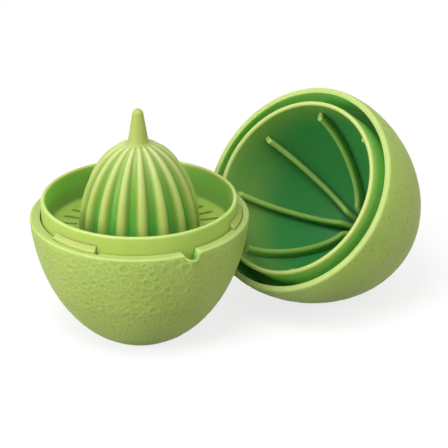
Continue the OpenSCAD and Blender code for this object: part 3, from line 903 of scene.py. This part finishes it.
# columns, the depths over which the painted marks fade, and the weights of the painted shade, painted light
# and painted glow
CUP_COLS = 288
BACK_SHADE = (3, 16)
CUP_SHADE = (-3, 19)
RING_GREEN = (1, 7)
BACK_DEEP = 0.45
CUP_DEEP, CUP_DEEPER = 0.42, 0.53
RING_LIP, RING_TOP_LIP = 0.1, 0.45
RING_LEAF, RING_LEAFIER = 0.3, 0.5
LOW_SIDE_S, LOW_SIDE_SPAN, LOW_SIDE_TURN, LOW_SIDE_PAINTED_LIGHT = 18, 9, 1.0, 0.4

# the same for the fins, with the rows of a flank as shares of its height
FIN_FLANKS = np.array([0, 0.35, 0.7])
FIN_EDGE_COLS = 13
FIN_END_ROWS = 3
FIN_LEAST = 0.05
FIN_SHADE = (0.5, 1)
FIN_DEEP, FIN_DEEPER, FIN_END_DEEP = 0.62, 0.15, 0.15
FIN_EDGE_LESS_SHADE, FIN_EDGE_LIP, FIN_EDGE_LEAF = 0.56, 0.15, 0.25


def cup_skin():
    """Turned cup: its outside superellipse up to the flange, the flange, the groove's inner wall, the
    ring's rounded top, the straight inside and the inside superellipse down to the bottom."""
    back = math.asin(((LEDGE_S - CUP_STRAIGHT) / (CUP_B + CUP_WALL)) ** (CUP_ROUND / 2))
    outside = bulb(RING_R, CUP_B + CUP_WALL, -CUP_STRAIGHT, CUP_ROUND, QUARTER, back, 26)
    outside[0, 0] = 0
    flange_r = lid_wall_at(LEDGE_S) - FLANGE_PLAY
    lip_r = CUP_WALL / 2
    top = arc((RING_R - lip_r, RING_PROUD - lip_r), lip_r, 0, 180, 11)
    ring = chain(
        line((flange_r, -LEDGE_S), (flange_r, -GROOVE), 3),
        line((flange_r - 0.6, -GROOVE), (RING_R + 0.4, -GROOVE), 4),
        line((RING_R, -GROOVE + 0.4), (RING_R, RING_PROUD - lip_r), 16), top)
    inside = chain(
        line((RING_IN, RING_PROUD - lip_r - 0.3), (RING_IN, -CUP_STRAIGHT), 10),
        bulb(RING_IN, CUP_B, -CUP_STRAIGHT, CUP_ROUND, 0, QUARTER, 60)[1:])
    inside[-1, 0] = 0
    profile = np.concatenate([outside, ring, inside])
    n_ring, n_in = len(outside), len(outside) + len(ring)
    n_top = n_in - len(top)

    # painted shade inside and on the back, lifted by painted light on the inside's low side, and a ring with
    # a painted highlight on top and painted glow bright green below
    s = -profile[:, 1, None]
    turns = even(CUP_COLS)
    painted_shade, lip, painted_glow_and_shade = np.zeros(s.shape), np.zeros(s.shape), np.zeros(s.shape)
    painted_shade[:n_top] = BACK_DEEP * ramp(s[:n_top], *BACK_SHADE)
    painted_shade[n_in:] = CUP_DEEP + CUP_DEEPER * ramp(s[n_in:], *CUP_SHADE)
    lip[n_ring:n_top], lip[n_top:n_in] = RING_LIP, RING_TOP_LIP
    painted_glow_and_shade[n_ring:n_top] = RING_LEAF + RING_LEAFIER * ramp(RING_PROUD + s[n_ring:n_top], *RING_GREEN)
    painted_light_low_side = np.exp(-((s - LOW_SIDE_S) / LOW_SIDE_SPAN) ** 2)
    painted_light_low_side = painted_light_low_side * np.maximum(np.cos(turns + LOW_SIDE_TURN), 0) ** 2
    painted_light_low_side[:n_in] = 0
    return skin(lay_down(revolve(profile, turns)), painted_shade - LOW_SIDE_PAINTED_LIGHT * painted_light_low_side, lip, painted_glow_and_shade)


def fin_crest():
    """Inner edge of a fin and how far its outline is drawn in: a quarter circle at the mouth, then the edge
    falls along a superellipse and turns by a quarter ellipse to the cup's bottom."""
    mid = FIN_FREE + FIN_BEND
    floor = CUP_STRAIGHT + CUP_B * (1 - (FIN_FREE / RING_IN) ** CUP_ROUND) ** (1 / CUP_ROUND)
    b = np.linspace(0, QUARTER, FIN_MOUTH_ROWS)[:-1]
    mouth = np.stack([np.full(len(b), FIN_R), -FIN_S - FIN_EASE * (1 - np.cos(b))], -1)
    t = np.linspace(0, QUARTER, 56)
    fall = np.stack([mid + (FIN_R - mid) * np.maximum(np.cos(t), 0) ** (2 / FIN_ROUND),
                     -FIN_S - FIN_EASE - (FIN_FLAT - FIN_S - FIN_EASE) * np.sin(t) ** (2 / FIN_ROUND)], -1)
    q = np.linspace(0, QUARTER, 14)[1:]
    bend = np.stack([mid - FIN_BEND * np.sin(q), -FIN_FLAT - (floor - FIN_FLAT) * (1 - np.cos(q))], -1)
    draw_in = np.concatenate([FIN_EASE * (1 - np.sin(b)), np.zeros(len(fall) + len(bend))])
    return np.concatenate([mouth, fall, bend]), draw_in


def fin_root(crest):
    """Foot of each section of a fin, in the middle of the cup's wall at the same share of the way as the
    crest, and level with the crest at the mouth."""
    radius, depth = RING_IN + CUP_WALL / 2, CUP_B + CUP_WALL / 2
    start = math.asin(((FIN_S - CUP_STRAIGHT) / depth) ** (CUP_ROUND / 2))
    stop = math.acos((FIN_FREE / radius) ** (CUP_ROUND / 2))
    way = np.concatenate([[0], np.cumsum(np.linalg.norm(np.diff(crest, axis=0), axis=1))])
    w = start + (stop - start) * way / way[-1]
    root = np.stack([radius * np.cos(w) ** (2 / CUP_ROUND),
                     -CUP_STRAIGHT - depth * np.sin(w) ** (2 / CUP_ROUND)], -1)
    root[:FIN_MOUTH_ROWS, 1] = crest[:FIN_MOUTH_ROWS, 1]
    return root


def fin_skin(turn):
    """A wall from the cup to the fin's crest. The section is two flanks and a half circle on the edge, and
    each end closes in the middle of its end face."""
    crest, draw_in = fin_crest()
    root = fin_root(crest)
    lift = (crest - root)[:, None]
    length = np.linalg.norm(lift, axis=2, keepdims=True)
    around = np.radians(np.linspace(0, 180, FIN_EDGE_COLS))
    none, full = np.zeros(len(FIN_FLANKS)), np.ones(len(FIN_FLANKS))
    on_edge = np.concatenate([none, np.ones(FIN_EDGE_COLS), none])
    high = np.concatenate([FIN_FLANKS, np.ones(FIN_EDGE_COLS), FIN_FLANKS[::-1]])[None, :, None]
    cap = np.concatenate([none, np.sin(around), none])[None, :, None]
    thick = np.concatenate([-full, -np.cos(around), full])[None]
    slim = FIN_T / 2 - draw_in[:, None]
    up = high * np.maximum(length - FIN_T / 2, FIN_LEAST) + cap * slim[:, :, None]
    flat = root[:, None] + lift / np.maximum(length, TINY) * up
    wall = np.stack([flat[..., 0], slim * thick, flat[..., 1]], -1)
    ends = [np.broadcast_to(row.mean(axis=1, keepdims=True), row.shape) for row in (wall[:1], wall[-1:])]
    wall = np.concatenate([ends[0], wall, ends[1]])
    depth = np.clip(-wall[..., 2] / FIN_FLAT, 0, 1)
    # painted shade on the fin's flanks, darker deeper down and less on the edge and at the mouth end; painted
    # highlight and painted glow along the edge
    painted_shade = FIN_DEEP - FIN_EDGE_LESS_SHADE * on_edge + FIN_DEEPER * ramp(depth, *FIN_SHADE)
    painted_shade[:FIN_END_ROWS] = FIN_END_DEEP
    return skin(lay_down(spin(wall, turn)), painted_shade, on_edge * FIN_EDGE_LIP, on_edge * FIN_EDGE_LEAF)


def make_press_cup():
    """The turned cup and its fins, which run down to a free middle."""
    fins = [fin_skin(FIN_TURN + k * TURN / FINS) for k in range(FINS)]
    piece("press_cup_finned", "lid", "press_cup", cup_finish, [cup_skin()] + fins)


make_bowl()
make_strainer()
make_reamer()
make_lid_shell()
make_press_cup()


# Studio, in metres

FLOOR_HALF = 3.0
SHADOW_CENTRE = (0.04, 0.01, 0.0)
SHADOW_FADE = {"From Min": 0.12, "From Max": 0.34, "To Min": 0.76}
FLOOR_BOUNCE = (0.26, 0.28, 0.18)
FLOOR_TONE = (0.9, 0.9, 0.92)
WHITE = (1, 1, 1, 1)
SKY_TONE, SKY_STRENGTH = (1.0, 1.0, 0.96, 1), 0.64
FOCAL_PX, PHOTO_PX, SENSOR_MM = 2200, 448, 36.0
CAMERA_FALL, CAMERA_AWAY = 0.4318, 0.90508
AIM_X, AIM_Z = 0.034699, 0.047993


def white_rays(tree):
    """One for the rays that see plain white: camera, glossy and transmission rays."""
    path = add(tree, "ShaderNodeLightPath")
    share = path["Is Camera Ray"]
    for ray in ("Is Glossy Ray", "Is Transmission Ray"):
        share = add(tree, "ShaderNodeMath", {0: share, 1: path[ray]}, operation="MAXIMUM")["Value"]
    return share


def make_floor():
    """Pale floor that keeps the shadow and turns plain white away from the object."""
    mesh = bpy.data.meshes.new("studio_floor")
    corners = [(x * FLOOR_HALF, y * FLOOR_HALF, 0) for x, y in ((-1, -1), (1, -1), (1, 1), (-1, 1))]
    mesh.from_pydata(corners, [], [(0, 1, 2, 3)])
    floor = bpy.data.objects.new("studio_floor", mesh)
    bpy.context.scene.collection.objects.link(floor)
    finish = bpy.data.materials.new("studio_white")
    finish.use_nodes = True
    tree = finish.node_tree
    tree.nodes.clear()
    place = add(tree, "ShaderNodeTexCoord")["Object"]
    out = add(tree, "ShaderNodeVectorMath", {0: place, 1: SHADOW_CENTRE}, operation="DISTANCE")["Value"]
    fade = {"Value": out, **SHADOW_FADE}
    far = add(tree, "ShaderNodeMapRange", fade, interpolation_type="SMOOTHSTEP")["Result"]
    rays = white_rays(tree)
    blend = add(tree, "ShaderNodeMath", {0: far, 1: rays}, operation="MULTIPLY")["Value"]
    tone = mix_colour(tree, rays, FLOOR_BOUNCE, FLOOR_TONE)
    matt = add(tree, "ShaderNodeBsdfDiffuse", {"Color": tone})["BSDF"]
    plain = add(tree, "ShaderNodeEmission", {"Color": WHITE, "Strength": 1.0})["Emission"]
    mixed = add(tree, "ShaderNodeMixShader", {"Fac": blend, 1: matt, 2: plain})["Shader"]
    add(tree, "ShaderNodeOutputMaterial", {"Surface": mixed})
    mesh.materials.append(finish)


def make_lamp(name, place, target, size, power, colour):
    """Square soft lamp that looks at a point."""
    lamp = bpy.data.lights.new(name, "AREA")
    lamp.size, lamp.energy, lamp.color = size, power, colour
    obj = bpy.data.objects.new(name, lamp)
    bpy.context.scene.collection.objects.link(obj)
    way = np.array(target) - np.array(place)
    flat = math.hypot(way[0], way[1])
    obj.location = place
    obj.rotation_euler = (math.atan2(flat, -way[2]), 0, math.atan2(way[1], way[0]) - QUARTER)


def make_world():
    """White to the camera and in reflections, plain soft light for the rest."""
    world = bpy.data.worlds.new("studio_world")
    world.use_nodes = True
    tree = world.node_tree
    tree.nodes.clear()
    sky = add(tree, "ShaderNodeBackground", {"Color": SKY_TONE, "Strength": SKY_STRENGTH})["Background"]
    white = add(tree, "ShaderNodeBackground", {"Color": WHITE, "Strength": 1.0})["Background"]
    mixed = add(tree, "ShaderNodeMixShader", {"Fac": white_rays(tree), 1: sky, 2: white})["Shader"]
    add(tree, "ShaderNodeOutputWorld", {"Surface": mixed})
    bpy.context.scene.world = world


def make_camera():
    """Looks along +Y and down at the photograph's angle, from about nine tenths of a metre."""
    lens = bpy.data.cameras.new("photo_camera")
    lens.sensor_width, lens.lens = SENSOR_MM, SENSOR_MM * FOCAL_PX / PHOTO_PX
    lens.clip_start, lens.clip_end = 0.01, 20
    camera = bpy.data.objects.new("photo_camera", lens)
    bpy.context.scene.collection.objects.link(camera)
    back, up = CAMERA_AWAY * math.cos(CAMERA_FALL), CAMERA_AWAY * math.sin(CAMERA_FALL)
    camera.location = (AIM_X, -back, AIM_Z + up)
    camera.rotation_euler = (QUARTER - CAMERA_FALL, 0, 0)
    bpy.context.scene.camera = camera


make_floor()
make_world()
make_camera()
make_lamp("key_lamp", (-0.78, -0.6, 0.42), (0.02, 0, 0.05), 0.45, 9.2, (1.0, 0.985, 0.95))
make_lamp("top_lamp", (-0.15, -0.45, 0.95), (0.04, 0, 0.05), 0.4, 6.0, (1.0, 1.0, 0.98))
make_lamp("fill_lamp", (0.72, -0.8, 0.5), (0.04, 0, 0.05), 0.6, 3.4, (1.0, 1.0, 0.98))
bpy.context.scene.view_settings.view_transform = "Standard"
